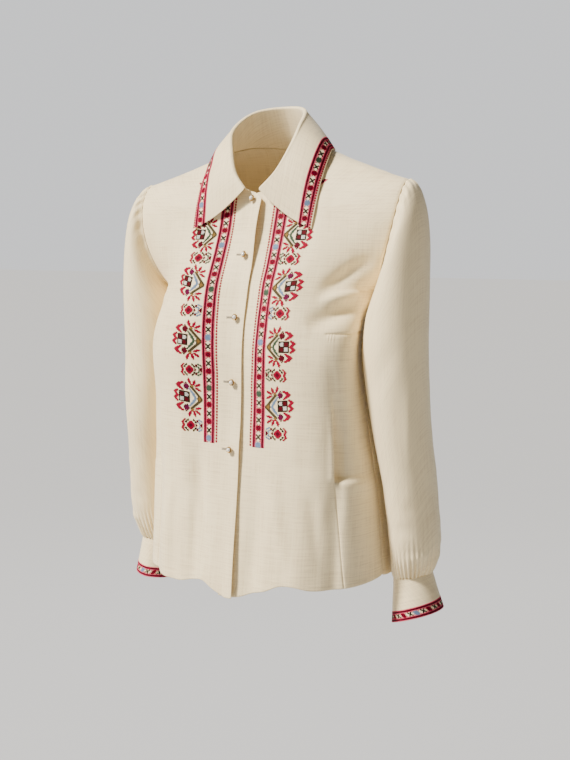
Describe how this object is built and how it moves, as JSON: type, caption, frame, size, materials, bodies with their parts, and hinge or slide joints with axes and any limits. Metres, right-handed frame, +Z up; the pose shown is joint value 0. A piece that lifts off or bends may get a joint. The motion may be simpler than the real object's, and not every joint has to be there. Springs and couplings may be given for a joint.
{
  "type": "embroidered folk blouse",
  "caption": "Long-sleeved women's blouse with a pointed collar, a buttoned front and cross-stitched folk bands, in its hollow worn shape.",
  "frame": {"origin": "midway between the two points where the shoulder seams meet the neckline, level with the tops of the shoulders", "axes": "+X to the wearer's left, -Y to the front, +Z up along the wearer's body"},
  "size_m": [0.5077, 0.2438, 0.7164],
  "materials": {
    "cream_silk": "soft plain-weave silk crepe, warm ivory, slightly slubbed",
    "pearl_button": "pearl bead in a small gold cup",
    "embroidery_thread": "cross-stitched cotton thread in dark red, pink, green, blue, gold and plum",
    "sewing_thread": "cream sewing thread"
  },
  "bodies": {
    "root": {"front_right": "cream_silk", "front_left": "cream_silk", "back": "cream_silk", "collar": "cream_silk", "sleeve_right": "cream_silk", "sleeve_left": "cream_silk", "cuff_right": "cream_silk", "cuff_left": "cream_silk", "button_1": "pearl_button", "button_2": "pearl_button", "button_3": "pearl_button", "button_4": "pearl_button", "button_5": "pearl_button", "cuff_button_right": "pearl_button", "cuff_button_left": "pearl_button"}
  },
  "joints": []
}
